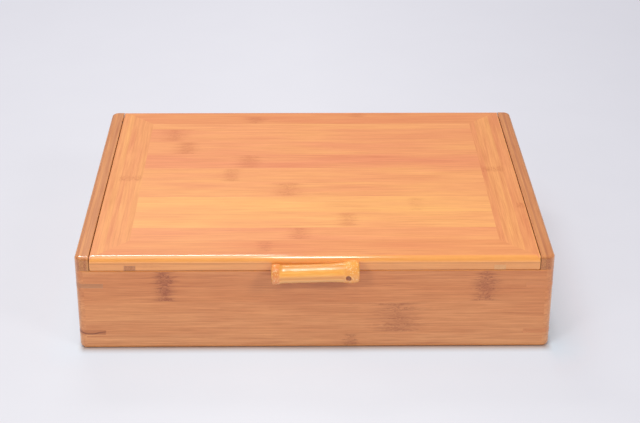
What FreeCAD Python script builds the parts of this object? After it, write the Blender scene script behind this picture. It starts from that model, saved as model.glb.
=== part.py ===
import FreeCAD, Part
import os
import Sketcher

# A bamboo tea ceremony box, in millimetres.
#
# The carcass is four mitred boards held at each upright corner by two slip keys, with a bottom let
# into grooves. The two side boards stand a lid's thickness higher than the front and the back, and
# the lid lies between them. The lid is a mitred frame round a flush panel, with a tongue on the
# panel, a hidden spline in each mitre and two battens let through the rails. It turns on two pins
# near its back edge and is lifted by a length of bamboo root that is dowelled to its front edge.
#
# +X is to the right, the front faces -Y and +Z is up. Every piece is drawn about the centre of the
# carcass on the ground and then moved back by half of what the pull reaches in front, so that the
# origin is the centre of the whole footprint.

# Driving dimensions: alias, millimetres, meaning.
DIMENSIONS = (
    ("box_width", 330.0, "carcass, left to right"),
    ("box_depth", 256.0, "carcass, front to back"),
    ("box_height", 72.0, "ground to the top of the side boards"),
    ("side_thickness", 10.0, "left and right boards"),
    ("end_thickness", 10.0, "front and back boards"),
    ("corner_round", 5.5, "radius of the upright corners"),
    ("top_round", 2.5, "radius along the top of the carcass"),
    ("foot_round", 2.5, "radius along the foot of the carcass"),
    ("board_arris", 0.5, "radius of the boards' edges beside and under the lid"),
    ("bottom_thickness", 5.0, "bottom board"),
    ("bottom_lift", 4.0, "ground to the underside of the bottom board"),
    ("groove_depth", 4.0, "depth of the grooves that hold the bottom board"),
    ("groove_play", 0.5, "room between the bottom board and each groove's floor"),
    ("key_web", 1.0, "what is left of the mitre inside a key, along the board"),
    ("key_thickness", 3.5, "slip key"),
    ("lower_key_rise", 13.0, "ground to the middle of a lower key"),
    ("upper_key_drop", 11.6, "top of the front board to the middle of an upper key"),
    ("lid_thickness", 10.0, "lid frame"),
    ("lid_under_gap", 0.4, "between the lid and the front and back boards"),
    ("lid_side_gap", 0.5, "between the lid and each side board"),
    ("lid_proud", 0.5, "lid's front edge in front of the front board"),
    ("lid_front_round", 4.0, "radius of the lid's upper front edge"),
    ("stop_angle", 103.0, "degrees that the lid turns before its upper back edge meets the back board"),
    ("lid_side_ease", 1.5, "radius of the lid's lower side edges"),
    ("lid_arris", 0.5, "radius of the lid's other outer edges"),
    ("frame_width", 25.5, "rails and stiles of the lid"),
    ("panel_thickness", 6.0, "lid panel"),
    ("tongue_thickness", 2.0, "tongue of the lid panel, and the mitre splines"),
    ("tongue_drop", 2.5, "top of the lid to the top of the tongue"),
    ("tongue_length", 4.0, "depth of the frame's groove"),
    ("tongue_play", 0.5, "room between the tongue and the groove's floor"),
    ("spline_gap", 2.0, "between the panel's groove and a spline, along the board"),
    ("spline_clear", 3.5, "between a pin's side and the outer end of a spline"),
    ("spline_half_width", 4.0, "reach of a spline to each side of the mitre"),
    ("batten_width", 8.0, "batten under the lid panel"),
    ("batten_tuck", 2.0, "how far a batten lies under the stile"),
    ("pin_radius", 2.0, "pivot pin"),
    ("pin_clearance", 0.05, "radial running clearance of a pin in the lid"),
    ("pin_embed", 12.0, "length of a pin in the lid"),
    ("pin_play", 0.5, "room beyond the end of a pin in the lid"),
    ("pin_recess", 0.2, "outer end of a pin below the side board's face"),
    ("pull_length", 60.0, "root pull, end to end"),
    ("pull_reach", 5.0, "lid's front edge to the axis of the pull"),
    ("pull_left_rise", -0.8, "underside of the lid up to the pull's axis at its left end"),
    ("pull_right_rise", 1.5, "underside of the lid up to the pull's axis at its right end"),
    ("scar_along", 52.5, "left end of the pull to its root scar"),
    ("scar_rise", 0.3, "underside of the lid to the centre of the root scar"),
    ("scar_radius", 1.8, "root scar"),
    ("scar_depth", 4.7, "axis of the pull to the floor of the root scar"),
    ("dowel_radius", 1.25, "dowels of the pull"),
    ("dowel_rise", 2.8, "underside of the lid to the axis of the dowels"),
    ("dowel_in_rail", 10.0, "length of a dowel in the lid's front rail"),
    ("dowel_in_pull", 5.0, "length of a dowel in the pull"),
    ("left_dowel_along", 4.0, "left end of the pull to its left dowel"),
    ("right_dowel_along", 52.0, "left end of the pull to its right dowel"),
)

# Outline of the pull along its axis: name, distance from its left end, radius, and whether the
# outline bows through the point, from the one before to the one after, or has a corner there.
PULL_OUTLINE = (
    ("left_end", 0.0, 6.2, False),
    ("left_shoulder", 0.7, 6.9, False),
    ("left_rise", 2.0, 7.0, False),
    ("left_ring", 3.8, 7.2, True),
    ("left_fall", 5.6, 7.0, False),
    ("left_crease", 8.0, 6.4, False),
    ("middle", 28.0, 6.1, True),
    ("right_crease", 49.5, 6.9, False),
    ("right_rise", 52.5, 7.8, False),
    ("right_ring", 54.5, 8.1, True),
    ("right_fall", 56.5, 7.8, False),
    ("right_shoulder", 59.3, 7.2, False),
    ("right_end", 60.0, 6.5, False),
)

# Places that follow from the driving dimensions, as expressions on the sheet.
HALF_WIDTH = "dims.box_width / 2"
HALF_DEPTH = "dims.box_depth / 2"
INNER_HALF_WIDTH = "(dims.box_width / 2 - dims.side_thickness)"
INNER_HALF_DEPTH = "(dims.box_depth / 2 - dims.end_thickness)"
BOARD_TOP = "(dims.box_height - dims.lid_thickness - dims.lid_under_gap)"
KEY_LEG = "(dims.side_thickness + dims.end_thickness - dims.key_web)"
LID_UNDERSIDE = "(dims.box_height - dims.lid_thickness)"
LID_HALF_WIDTH = "(dims.box_width / 2 - dims.side_thickness - dims.lid_side_gap)"
LID_FRONT = "(-dims.box_depth / 2 - dims.lid_proud)"
PANEL_HALF_WIDTH = f"({LID_HALF_WIDTH} - dims.frame_width)"
PANEL_FRONT = f"({LID_FRONT} + dims.frame_width)"
PANEL_BACK = f"({HALF_DEPTH} - dims.frame_width)"
PANEL_UNDERSIDE = "(dims.box_height - dims.panel_thickness)"
TONGUE_UNDERSIDE = "(dims.box_height - dims.tongue_drop - dims.tongue_thickness)"
TONGUE_REACH = "(dims.tongue_length - dims.tongue_play)"
BATTEN_HEIGHT = "(dims.lid_thickness - dims.panel_thickness)"
BATTEN_OUTER = f"({PANEL_HALF_WIDTH} + dims.batten_tuck)"
BATTEN_INNER = f"({BATTEN_OUTER} - dims.batten_width)"
PIVOT_Y = f"({HALF_DEPTH} - dims.lid_thickness / 2)"
PIVOT_Z = "(dims.box_height - dims.lid_thickness / 2)"
# The lid's upper back edge is rounded just so much that it touches the back board's top at the stop.
STOP_LEAN = "(sqrt(2) * sin((dims.stop_angle - 45) * 1deg) - 1)"
LID_BACK_ROUND = f"(dims.lid_thickness / 2 - dims.lid_under_gap / {STOP_LEAN})"
SPLINE_SETBACK = "(dims.lid_thickness / 2 + dims.pin_radius + dims.spline_clear)"
PULL_AXIS_Y = f"({LID_FRONT} - dims.pull_reach)"
PULL_LEFT = "(-dims.pull_length / 2)"
PULL_TILT = "atan((dims.pull_right_rise - dims.pull_left_rise) / dims.pull_length)"
DOWEL_START_Y = f"({LID_FRONT} + dims.dowel_in_rail)"
FOOTPRINT_SHIFT = "(dims.lid_proud + dims.pull_reach + dims.right_ring_radius) / 2"

# Turns a cylinder, which is made along Z, to run along -Y.
ALONG_FRONT = FreeCAD.Rotation(FreeCAD.Vector(1, 0, 0), 90)

# Two coordinates closer than this are the same, in millimetres.
NEAR = 0.001

SIDES = (("left", -1), ("right", 1))
ENDS = (("front", -1), ("back", 1))

doc = FreeCAD.newDocument("tea_ceremony_box")
dims = doc.addObject("Spreadsheet::Sheet", "dims")
sub_parts = []


def fill_sheet():
    """Write every driving dimension into the sheet, one row each, under its alias."""
    rows = list(DIMENSIONS)
    for name, along, radius, _ in PULL_OUTLINE:
        rows.append((f"{name}_along", along, f"left end of the pull to the {name} point"))
        rows.append((f"{name}_radius", radius, f"radius of the pull at the {name} point"))
    for row, (alias, value, meaning) in enumerate(rows, start=1):
        dims.set(f"A{row}", meaning)
        dims.set(f"B{row}", str(value))
        dims.setAlias(f"B{row}", alias)
    doc.recompute()


def value_of(expression):
    """The number that an expression on the sheet gives."""
    return float(dims.evalExpression(expression))


def origin_plane(body, role):
    """One of a body's own origin planes, found by its role."""
    return next(plane for plane in body.Origin.OriginFeatures if plane.Role == role)


def new_body(name):
    """An empty body."""
    return doc.addObject("PartDesign::Body", name)


def new_sketch(body, name, role="XY_Plane", offset="0"):
    """An empty sketch on one of the body's origin planes, moved along that plane's normal."""
    sketch = body.newObject("Sketcher::SketchObject", name)
    sketch.AttachmentSupport = [(origin_plane(body, role), "")]
    sketch.MapMode = "FlatFace"
    if offset != "0":
        sketch.setExpression("AttachmentOffset.Base.z", offset)
    return sketch


def pin_point(sketch, geometry, point, place):
    """Tie a point of a sketch to its place, a pair of expressions measured from the origin."""
    for kind, axis_line, expression in zip(("DistanceX", "DistanceY"), (-2, -1), place):
        number = value_of(expression)
        if number == 0:
            sketch.addConstraint(Sketcher.Constraint("PointOnObject", geometry, point, axis_line))
            continue
        ends = (-1, 1, geometry, point)
        if number < 0:
            ends = (geometry, point, -1, 1)
            expression = f"-({expression})"
        index = sketch.addConstraint(Sketcher.Constraint(kind, *ends, abs(number)))
        sketch.setExpression(f"Constraints[{index}]", expression)


def draw_polygon(sketch, corners):
    """Draw a closed outline through corners, each a pair of expressions."""
    points = [FreeCAD.Vector(value_of(x), value_of(y), 0) for x, y in corners]
    count = len(points)
    for index in range(count):
        sketch.addGeometry(Part.LineSegment(points[index], points[(index + 1) % count]), False)
    for index in range(count):
        following = (index + 1) % count
        sketch.addConstraint(Sketcher.Constraint("Coincident", index, 2, following, 1))
    for index, corner in enumerate(corners):
        pin_point(sketch, index, 1, corner)


def draw_circle(sketch, centre, radius):
    """Draw a circle about centre, a pair of expressions."""
    middle = FreeCAD.Vector(value_of(centre[0]), value_of(centre[1]), 0)
    circle = Part.Circle(middle, FreeCAD.Vector(0, 0, 1), value_of(radius))
    index = sketch.addGeometry(circle, False)
    pin_point(sketch, index, 3, centre)
    size = sketch.addConstraint(Sketcher.Constraint("Radius", index, value_of(radius)))
    sketch.setExpression(f"Constraints[{size}]", radius)


def rectangle(x_low, x_high, y_low, y_high):
    """The corners of an upright rectangle."""
    return ((x_low, y_low), (x_high, y_low), (x_high, y_high), (x_low, y_high))


def add_prism(body, name, corners, base, height):
    """Raise a plan outline from the level base by height."""
    sketch = new_sketch(body, f"{name}_outline", offset=base)
    draw_polygon(sketch, corners)
    pad = body.newObject("PartDesign::Pad", name)
    pad.Profile = sketch
    pad.setExpression("Length", height)
    return pad


def cut_prism(body, name, corners, base, height):
    """Cut a plan outline out of the body from the level base up by height."""
    doc.recompute()
    before = body.Shape.Volume
    sketch = new_sketch(body, f"{name}_outline", offset=base)
    draw_polygon(sketch, corners)
    pocket = body.newObject("PartDesign::Pocket", name)
    pocket.Profile = sketch
    pocket.Reversed = True
    pocket.setExpression("Length", height)
    doc.recompute()
    if body.Shape.Volume >= before:
        raise RuntimeError(f"{name} cuts nothing from {body.Name}")
    return pocket


def round_edges(body, name, chosen, radius):
    """Round those edges of the body that chosen, a test on an edge's bounding box, picks."""
    doc.recompute()
    tip = body.Tip
    picked = [
        f"Edge{number}"
        for number, edge in enumerate(tip.Shape.Edges, start=1)
        if chosen(edge.BoundBox)
    ]
    if not picked:
        raise RuntimeError(f"{name} finds no edge to round on {body.Name}")
    fillet = body.newObject("PartDesign::Fillet", name)
    fillet.Base = (tip, picked)
    fillet.setExpression("Radius", radius)
    return fillet


def runs_along_x(box):
    """Does an edge with this bounding box run left to right?"""
    return box.YLength < NEAR and box.ZLength < NEAR


def runs_along_y(box):
    """Does an edge with this bounding box run front to back?"""
    return box.XLength < NEAR and box.ZLength < NEAR


def new_cylinder(name, radius, length, rotation, place):
    """A cylinder that starts at place, three expressions, and runs the way rotation turns it."""
    cylinder = doc.addObject("Part::Cylinder", name)
    cylinder.setExpression("Radius", radius)
    cylinder.setExpression("Height", length)
    cylinder.Placement = FreeCAD.Placement(FreeCAD.Vector(), rotation)
    for axis, expression in zip("xyz", place):
        cylinder.setExpression(f"Placement.Base.{axis}", expression)
    return cylinder


def keep(name, piece, place_y="0"):
    """List a finished sub-part under its name and seat it in the footprint's frame."""
    piece.Label = name
    piece.setExpression("Placement.Base.y", f"{place_y} + {FOOTPRINT_SHIFT}")
    sub_parts.append(piece)


def trimmed(name, blank, outline, cutters=()):
    """The part of a blank that lies inside an outline, less its cutters."""
    common = doc.addObject("Part::Common", f"{name}_trimmed" if cutters else name)
    common.Base = blank
    common.Tool = outline
    if not cutters:
        return common
    tool = cutters[0]
    if len(cutters) > 1:
        tool = doc.addObject("Part::MultiFuse", f"{name}_cutters")
        tool.Shapes = list(cutters)
    cut = doc.addObject("Part::Cut", name)
    cut.Base = common
    cut.Tool = tool
    return cut


def carcass_outline():
    """The carcass as one block with its upright corners, top and foot rounded."""
    body = new_body("carcass_outline")
    corners = rectangle(f"-{HALF_WIDTH}", HALF_WIDTH, f"-{HALF_DEPTH}", HALF_DEPTH)
    add_prism(body, "carcass_block", corners, "0", "dims.box_height")
    top = value_of("dims.box_height")
    round_edges(body, "upright_rounds", lambda box: box.ZLength > NEAR, "dims.corner_round")
    round_edges(body, "top_rounds", lambda box: box.ZMin > top - NEAR, "dims.top_round")
    round_edges(body, "foot_rounds", lambda box: box.ZMax < NEAR, "dims.foot_round")
    return body


def lid_block(name):
    """The lid as one sharp-edged block."""
    body = new_body(name)
    corners = rectangle(f"-{LID_HALF_WIDTH}", LID_HALF_WIDTH, LID_FRONT, HALF_DEPTH)
    add_prism(body, f"{name}_block", corners, LID_UNDERSIDE, "dims.lid_thickness")
    return body


def lid_outline():
    """The lid as one block: what is common to its profile from the side and from the front."""
    middle = value_of(PIVOT_Z)

    def crosswise(box, front, upper):
        """Is this the upper or lower, front or back edge that runs left to right?"""
        return runs_along_x(box) and (box.YMin < 0) == front and (box.ZMin > middle) == upper

    def lengthwise(box, upper):
        """Is this one of the upper or lower edges that run front to back?"""
        return runs_along_y(box) and (box.ZMin > middle) == upper

    side_on = lid_block("lid_side_profile")
    for name, front, upper, radius in (
        ("front_top_round", True, True, "dims.lid_front_round"),
        ("front_lower_arris", True, False, "dims.lid_arris"),
        ("back_top_round", False, True, LID_BACK_ROUND),
        ("back_lower_round", False, False, "dims.lid_thickness / 2"),
    ):
        round_edges(side_on, name, lambda box: crosswise(box, front, upper), radius)
    front_on = lid_block("lid_front_profile")
    round_edges(front_on, "side_top_arrises", lambda box: lengthwise(box, True), "dims.lid_arris")
    round_edges(
        front_on, "side_lower_rounds", lambda box: lengthwise(box, False), "dims.lid_side_ease"
    )
    outline = doc.addObject("Part::Common", "lid_outline")
    outline.Base = side_on
    outline.Tool = front_on
    return outline


def key_blanks():
    """A square-cornered slip for each corner key, by corner and level."""
    levels = (
        ("upper", f"({BOARD_TOP} - dims.upper_key_drop)"),
        ("lower", "dims.lower_key_rise"),
    )
    blanks = {}
    for end, end_sign in ENDS:
        for side, side_sign in SIDES:
            for level, middle in levels:
                body = new_body(f"{end}_{side}_{level}_key_blank")
                x_corner = f"{side_sign} * {HALF_WIDTH}"
                y_corner = f"{end_sign} * {HALF_DEPTH}"
                corners = (
                    (x_corner, y_corner),
                    (f"{side_sign} * ({HALF_WIDTH} - {KEY_LEG})", y_corner),
                    (x_corner, f"{end_sign} * ({HALF_DEPTH} - {KEY_LEG})"),
                )
                base = f"{middle} - dims.key_thickness / 2"
                add_prism(body, f"{body.Name}_slip", corners, base, "dims.key_thickness")
                blanks[(end, side, level)] = body
    return blanks


def make_end_board(end, end_sign, outline, blanks):
    """The front or the back board: mitred ends, a groove for the bottom and four key slots."""
    name = f"{end}_panel"
    body = new_body(f"{name}_blank")
    outer = f"{end_sign} * {HALF_DEPTH}"
    inner = f"{end_sign} * {INNER_HALF_DEPTH}"
    board = (
        (f"-{HALF_WIDTH}", outer),
        (HALF_WIDTH, outer),
        (INNER_HALF_WIDTH, inner),
        (f"-{INNER_HALF_WIDTH}", inner),
    )
    add_prism(body, f"{name}_board", board, "0", BOARD_TOP)
    floor = f"{end_sign} * ({INNER_HALF_DEPTH} + dims.groove_depth)"
    groove = rectangle(f"-{HALF_WIDTH}", HALF_WIDTH, floor, inner)
    cut_prism(body, f"{name}_groove", groove, "dims.bottom_lift", "dims.bottom_thickness")
    top = value_of(BOARD_TOP)
    round_edges(
        body,
        f"{name}_arrises",
        lambda box: runs_along_x(box) and box.ZMin > top - NEAR,
        "dims.board_arris",
    )
    slots = [blank for corner, blank in blanks.items() if corner[0] == end]
    keep(name, trimmed(name, body, outline, slots))


def make_side_board(side, side_sign, outline, blanks, pin_hole):
    """A side board: mitred below the lid, square beside it, grooved and bored for a pin."""
    name = f"{side}_side_panel"
    body = new_body(f"{name}_blank")
    outer = f"{side_sign} * {HALF_WIDTH}"
    inner = f"{side_sign} * {INNER_HALF_WIDTH}"
    mitred = (
        (outer, f"-{HALF_DEPTH}"),
        (outer, HALF_DEPTH),
        (inner, INNER_HALF_DEPTH),
        (inner, f"-{INNER_HALF_DEPTH}"),
    )
    add_prism(body, f"{name}_board", mitred, "0", BOARD_TOP)
    square = rectangle(outer, inner, f"-{HALF_DEPTH}", HALF_DEPTH)
    add_prism(body, f"{name}_cheek", square, BOARD_TOP, f"dims.box_height - {BOARD_TOP}")
    floor = f"{side_sign} * ({INNER_HALF_WIDTH} + dims.groove_depth)"
    groove = rectangle(floor, inner, f"-{HALF_DEPTH}", HALF_DEPTH)
    cut_prism(body, f"{name}_groove", groove, "dims.bottom_lift", "dims.bottom_thickness")
    top = value_of("dims.box_height")
    inner_face = abs(value_of(inner))
    round_edges(
        body,
        f"{name}_arris",
        lambda box: runs_along_y(box) and box.ZMin > top - NEAR and abs(box.XMin) < inner_face + 1,
        "dims.board_arris",
    )
    slots = [blank for corner, blank in blanks.items() if corner[1] == side]
    keep(name, trimmed(name, body, outline, slots + [pin_hole]))


def make_bottom():
    """The bottom board, which lies in the grooves of the four walls."""
    reach = "dims.groove_depth - dims.groove_play"
    half_width = f"({INNER_HALF_WIDTH} + {reach})"
    half_depth = f"({INNER_HALF_DEPTH} + {reach})"
    body = new_body("bottom_panel")
    corners = rectangle(f"-{half_width}", half_width, f"-{half_depth}", half_depth)
    add_prism(body, "bottom_board", corners, "dims.bottom_lift", "dims.bottom_thickness")
    keep("bottom_panel", body)


def make_keys(outline, blanks):
    """The eight slip keys, trimmed flush with the rounded corners."""
    for corner, blank in blanks.items():
        name = "_".join(corner) + "_key"
        keep(name, trimmed(name, blank, outline))


def pin_start(side_sign, recess="0"):
    """The outer end of a pin, or of its hole, this far below the side board's face."""
    return (f"{side_sign} * ({HALF_WIDTH} - {recess})", PIVOT_Y, PIVOT_Z)


def inward_turn(side_sign):
    """Turns a cylinder to run along X towards the middle of the box."""
    return FreeCAD.Rotation(FreeCAD.Vector(0, 1, 0), -90 * side_sign)


def make_pin(side, side_sign):
    """A pivot pin, fast in its side board and running in the lid."""
    length = "(dims.side_thickness + dims.lid_side_gap + dims.pin_embed - dims.pin_recess)"
    pin = new_cylinder(
        f"{side}_pivot_pin",
        "dims.pin_radius",
        length,
        inward_turn(side_sign),
        pin_start(side_sign, "dims.pin_recess"),
    )
    keep(pin.Name, pin, PIVOT_Y)


def pin_hole_cutter(side, side_sign):
    """The hole for a pin through its side board, as tight as the pin."""
    return new_cylinder(
        f"{side}_pin_hole",
        "dims.pin_radius",
        "dims.side_thickness",
        inward_turn(side_sign),
        pin_start(side_sign),
    )


def pin_bore_cutter(side, side_sign):
    """The bore that a pin runs in, from the lid's side edge."""
    return new_cylinder(
        f"{side}_pin_bore",
        "dims.pin_radius + dims.pin_clearance",
        "dims.pin_embed + dims.pin_play",
        inward_turn(side_sign),
        (f"{side_sign} * {LID_HALF_WIDTH}", PIVOT_Y, PIVOT_Z),
    )


def make_splines():
    """The hidden spline in each mitre of the lid frame, by corner."""
    splines = {}
    for end, end_sign in ENDS:
        outer_y = LID_FRONT if end == "front" else HALF_DEPTH
        inner_y = PANEL_FRONT if end == "front" else PANEL_BACK
        for side, side_sign in SIDES:
            start_x = f"({side_sign} * ({PANEL_HALF_WIDTH} + dims.tongue_length + dims.spline_gap))"
            start_y = f"({inner_y} + {end_sign} * (dims.tongue_length + dims.spline_gap))"
            end_x = f"({side_sign} * ({LID_HALF_WIDTH} - {SPLINE_SETBACK}))"
            end_y = f"({outer_y} - {end_sign} * {SPLINE_SETBACK})"
            across = "dims.spline_half_width * sqrt(0.5)"
            step_x = f"{side_sign} * {across}"
            step_y = f"{end_sign} * {across}"
            corners = (
                (f"{start_x} + {step_x}", f"{start_y} - {step_y}"),
                (f"{end_x} + {step_x}", f"{end_y} - {step_y}"),
                (f"{end_x} - {step_x}", f"{end_y} + {step_y}"),
                (f"{start_x} - {step_x}", f"{start_y} + {step_y}"),
            )
            name = f"lid_{end}_{side}_spline"
            blank = new_body(f"{name}_blank")
            add_prism(blank, f"{name}_slip", corners, TONGUE_UNDERSIDE, "dims.tongue_thickness")
            splines[(end, side)] = blank
    return splines


def keep_splines(outline, splines):
    """List the splines as sub-parts of their own."""
    for (end, side), blank in splines.items():
        name = f"lid_{end}_{side}_spline"
        keep(name, trimmed(name, blank, outline))


def make_rail(end, end_sign, outline, cutters):
    """The front or the back rail of the lid: mitred, grooved and notched for the battens."""
    name = f"lid_{end}_rail"
    body = new_body(f"{name}_blank")
    outer = LID_FRONT if end == "front" else HALF_DEPTH
    inner = PANEL_FRONT if end == "front" else PANEL_BACK
    bar = (
        (f"-{LID_HALF_WIDTH}", outer),
        (LID_HALF_WIDTH, outer),
        (PANEL_HALF_WIDTH, inner),
        (f"-{PANEL_HALF_WIDTH}", inner),
    )
    add_prism(body, f"{name}_bar", bar, LID_UNDERSIDE, "dims.lid_thickness")
    floor = f"{inner} + {end_sign} * dims.tongue_length"
    groove = rectangle(f"-{LID_HALF_WIDTH}", LID_HALF_WIDTH, inner, floor)
    cut_prism(body, f"{name}_groove", groove, TONGUE_UNDERSIDE, "dims.tongue_thickness")
    for side, side_sign in SIDES:
        notch = rectangle(
            f"{side_sign} * {BATTEN_INNER}", f"{side_sign} * {BATTEN_OUTER}", inner, outer
        )
        cut_prism(body, f"{name}_{side}_notch", notch, LID_UNDERSIDE, BATTEN_HEIGHT)
    keep(name, trimmed(name, body, outline, cutters))


def make_stile(side, side_sign, outline, cutters):
    """A side stile of the lid: mitred, grooved and rebated for its batten."""
    name = f"lid_{side}_stile"
    body = new_body(f"{name}_blank")
    outer = f"{side_sign} * {LID_HALF_WIDTH}"
    inner = f"{side_sign} * {PANEL_HALF_WIDTH}"
    bar = ((outer, LID_FRONT), (outer, HALF_DEPTH), (inner, PANEL_BACK), (inner, PANEL_FRONT))
    add_prism(body, f"{name}_bar", bar, LID_UNDERSIDE, "dims.lid_thickness")
    floor = f"{side_sign} * ({PANEL_HALF_WIDTH} + dims.tongue_length)"
    groove = rectangle(inner, floor, LID_FRONT, HALF_DEPTH)
    cut_prism(body, f"{name}_groove", groove, TONGUE_UNDERSIDE, "dims.tongue_thickness")
    rebate = rectangle(inner, f"{side_sign} * {BATTEN_OUTER}", LID_FRONT, HALF_DEPTH)
    cut_prism(body, f"{name}_rebate", rebate, LID_UNDERSIDE, BATTEN_HEIGHT)
    keep(name, trimmed(name, body, outline, cutters))


def make_lid_panel():
    """The lid panel, flush with the frame's top, with a tongue all round."""
    body = new_body("lid_panel")
    field = rectangle(f"-{PANEL_HALF_WIDTH}", PANEL_HALF_WIDTH, PANEL_FRONT, PANEL_BACK)
    add_prism(body, "lid_panel_field", field, PANEL_UNDERSIDE, "dims.panel_thickness")
    half_width = f"({PANEL_HALF_WIDTH} + {TONGUE_REACH})"
    tongue = rectangle(
        f"-{half_width}",
        half_width,
        f"{PANEL_FRONT} - {TONGUE_REACH}",
        f"{PANEL_BACK} + {TONGUE_REACH}",
    )
    add_prism(body, "lid_panel_tongue", tongue, TONGUE_UNDERSIDE, "dims.tongue_thickness")
    keep("lid_panel", body)


def make_batten(side, side_sign, outline):
    """A batten that runs under the panel and out through both rails."""
    name = f"lid_{side}_batten"
    body = new_body(f"{name}_blank")
    strip = rectangle(
        f"{side_sign} * {BATTEN_INNER}", f"{side_sign} * {BATTEN_OUTER}", LID_FRONT, HALF_DEPTH
    )
    add_prism(body, f"{name}_strip", strip, LID_UNDERSIDE, BATTEN_HEIGHT)
    keep(name, trimmed(name, body, outline))


def dowel_cylinder(name, side):
    """A cylinder the size of one of the pull's dowels, in its place."""
    place = (
        f"{PULL_LEFT} + dims.{side}_dowel_along",
        DOWEL_START_Y,
        f"{LID_UNDERSIDE} + dims.dowel_rise",
    )
    length = "dims.dowel_in_rail + dims.dowel_in_pull"
    return new_cylinder(name, "dims.dowel_radius", length, ALONG_FRONT, place)


def make_dowels():
    """The two dowels that join the pull to the lid's front rail, and the holes that they fill."""
    holes = []
    for side, _ in SIDES:
        dowel = dowel_cylinder(f"{side}_pull_dowel", side)
        keep(dowel.Name, dowel, DOWEL_START_Y)
        holes.append(dowel_cylinder(f"{side}_dowel_hole", side))
    return holes


def draw_line(sketch, start, stop):
    """Draw a line between two points of a sketch, both pairs of expressions."""
    points = [FreeCAD.Vector(value_of(x), value_of(y), 0) for x, y in (start, stop)]
    line = sketch.addGeometry(Part.LineSegment(*points), False)
    pin_point(sketch, line, 1, start)
    pin_point(sketch, line, 2, stop)


def draw_bow(sketch, start, middle, stop):
    """Draw an arc through three points of a sketch, all pairs of expressions."""
    points = [FreeCAD.Vector(value_of(x), value_of(y), 0) for x, y in (start, middle, stop)]
    arc = sketch.addGeometry(Part.Arc(*points), False)
    marker = sketch.addGeometry(Part.Point(points[1]), True)
    pin_point(sketch, marker, 1, middle)
    sketch.addConstraint(Sketcher.Constraint("PointOnObject", marker, 1, arc))
    first_end = 1 if sketch.getPoint(arc, 1).distanceToPoint(points[0]) < NEAR else 2
    pin_point(sketch, arc, first_end, start)
    pin_point(sketch, arc, 3 - first_end, stop)


def turn_root(body):
    """Turn the pull's outline about its axis, which climbs a little from left to right."""
    sketch = new_sketch(body, "pull_outline", "XZ_Plane", f"-{PULL_AXIS_Y}")
    sketch.setExpression("AttachmentOffset.Base.x", PULL_LEFT)
    sketch.setExpression("AttachmentOffset.Base.y", f"{LID_UNDERSIDE} + dims.pull_left_rise")
    sketch.setExpression("AttachmentOffset.Rotation.Angle", PULL_TILT)
    points = [(f"dims.{name}_along", f"dims.{name}_radius") for name, *_ in PULL_OUTLINE]
    bowed = [bows for *_, bows in PULL_OUTLINE]
    draw_line(sketch, ("0", "0"), ("dims.pull_length", "0"))
    draw_line(sketch, ("0", "0"), points[0])
    draw_line(sketch, points[-1], ("dims.pull_length", "0"))
    for index in range(len(points) - 1):
        if bowed[index + 1]:
            draw_bow(sketch, points[index], points[index + 1], points[index + 2])
        elif not bowed[index]:
            draw_line(sketch, points[index], points[index + 1])
    turned = body.newObject("PartDesign::Revolution", "turned_root")
    turned.Profile = sketch
    turned.ReferenceAxis = (sketch, ["H_Axis"])
    turned.Angle = 360


def plane_back(body):
    """Plane the pull's back flat, where it meets the lid's front edge, past both of its ends."""
    sketch = new_sketch(body, "planed_back_outline", "YZ_Plane", "-dims.pull_length")
    low = f"({LID_UNDERSIDE} - 2 * dims.right_ring_radius)"
    high = "dims.box_height + dims.right_ring_radius"
    behind = f"({LID_FRONT} + 2 * dims.right_ring_radius)"
    draw_polygon(sketch, rectangle(LID_FRONT, behind, low, high))
    planed = body.newObject("PartDesign::Pocket", "planed_back")
    planed.Profile = sketch
    planed.Reversed = True
    planed.setExpression("Length", "2 * dims.pull_length")


def open_scar(body):
    """Sink the root scar into the pull's front, from its floor outwards."""
    floor = f"-{PULL_AXIS_Y} + dims.scar_depth"
    sketch = new_sketch(body, "root_scar_outline", "XZ_Plane", floor)
    centre = (f"{PULL_LEFT} + dims.scar_along", f"{LID_UNDERSIDE} + dims.scar_rise")
    draw_circle(sketch, centre, "dims.scar_radius")
    scar = body.newObject("PartDesign::Pocket", "root_scar")
    scar.Profile = sketch
    scar.Reversed = True
    scar.setExpression("Length", "dims.right_ring_radius")


def make_pull(dowel_holes):
    """The pull: a length of bamboo root, planed behind, with one root scar, on two dowels."""
    body = new_body("pull_blank")
    volumes = []
    for step in (turn_root, plane_back, open_scar):
        step(body)
        doc.recompute()
        volumes.append(body.Shape.Volume)
    if not volumes[0] > volumes[1] > volumes[2]:
        raise RuntimeError("the pull's flat back or its root scar cuts nothing")
    holes = doc.addObject("Part::MultiFuse", "pull_cutters")
    holes.Shapes = dowel_holes
    pull = doc.addObject("Part::Cut", "root_pull")
    pull.Base = body
    pull.Tool = holes
    keep("root_pull", pull)


def build():
    """Model every sub-part of the box."""
    fill_sheet()
    carcass = carcass_outline()
    lid = lid_outline()
    blanks = key_blanks()
    for end, end_sign in ENDS:
        make_end_board(end, end_sign, carcass, blanks)
    for side, side_sign in SIDES:
        hole = pin_hole_cutter(side, side_sign)
        make_side_board(side, side_sign, carcass, blanks, hole)
        make_pin(side, side_sign)
    make_bottom()
    make_keys(carcass, blanks)

    splines = make_splines()
    bores = {side: pin_bore_cutter(side, side_sign) for side, side_sign in SIDES}
    dowel_holes = make_dowels()
    for end, end_sign in ENDS:
        cutters = [splines[(end, side)] for side, _ in SIDES]
        cutters += list(bores.values()) if end == "back" else dowel_holes
        make_rail(end, end_sign, lid, cutters)
    for side, side_sign in SIDES:
        cutters = [splines[(end, side)] for end, _ in ENDS]
        make_stile(side, side_sign, lid, cutters + [bores[side]])
        make_batten(side, side_sign, lid)
    keep_splines(lid, splines)
    make_lid_panel()
    make_pull(dowel_holes)
    doc.recompute()


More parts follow.
